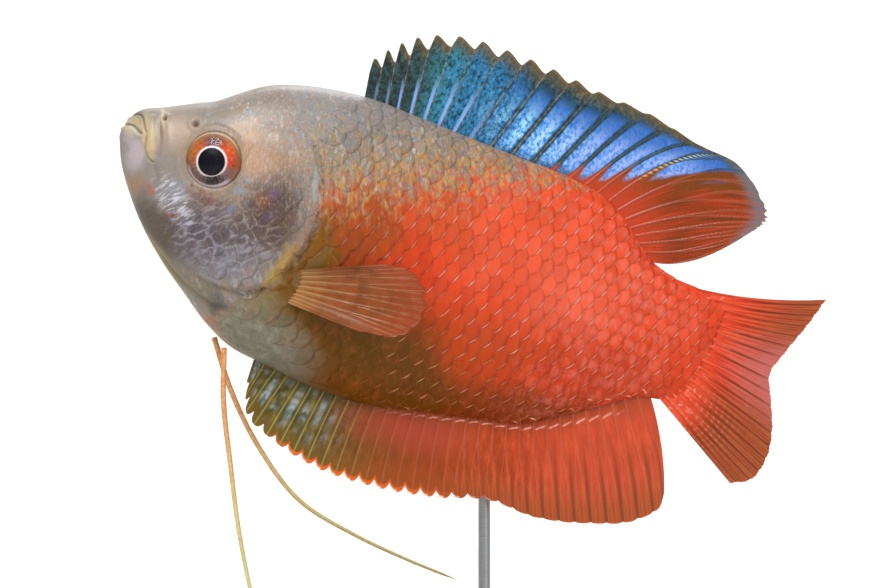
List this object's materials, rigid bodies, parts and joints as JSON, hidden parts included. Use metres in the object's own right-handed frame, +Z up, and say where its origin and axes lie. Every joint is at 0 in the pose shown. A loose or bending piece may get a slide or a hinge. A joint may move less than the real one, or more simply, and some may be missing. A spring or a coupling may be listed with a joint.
{
  "type": "dwarf gourami model on a display stand",
  "caption": "Still life-size model of a red dwarf gourami, nose up with spread fins and long thread-like feelers, on an oval base with a thin rod.",
  "frame": {"origin": "middle of the model's box, on the surface that the stand's base rests on", "axes": "+Z up; +Y to the fish's right, the model's narrowest way; +X towards the fish's tail, the longest way, so the fish looks along -X and its left side faces -Y"},
  "size_m": [0.071, 0.036, 0.0677],
  "materials": {
    "head": "wet-looking skin, grey beige with fine gold specks, cream jaws",
    "gill_cover": "violet grey plates under large pale-edged scales",
    "eye": "orange-red iris, pale ring and black pupil under a clear cornea",
    "flank": "orange-red scaled skin, wet satin",
    "dorsal": "membrane with shining blue streaks between brown spines, red soft part",
    "anal": "red membrane, olive in front with orange edge beads",
    "caudal": "red rays on a clear membrane",
    "pectoral": "clear pinkish membrane with pale rays",
    "feeler": "cream to orange thread-like rays",
    "stand_base": "dark stained wood, satin lacquer",
    "stand_rod": "fine brushed steel"
  },
  "bodies": {
    "root": {"head": "head", "upper_jaw": "head", "lower_jaw": "head", "gill_cover_left": "gill_cover", "gill_cover_right": "gill_cover", "eye_left": "eye", "eye_right": "eye", "trunk": "flank", "tail_stalk": "flank", "dorsal_fin": "dorsal", "anal_fin": "anal", "caudal_fin": "caudal", "pectoral_fin_left": "pectoral", "pectoral_fin_right": "pectoral", "pelvic_feeler_left_1": "feeler", "pelvic_feeler_left_2": "feeler", "pelvic_feeler_left_3": "feeler", "pelvic_feeler_right_1": "feeler", "pelvic_feeler_right_2": "feeler", "pelvic_feeler_right_3": "feeler", "stand_base": "stand_base", "stand_rod": "stand_rod"}
  },
  "joints": []
}
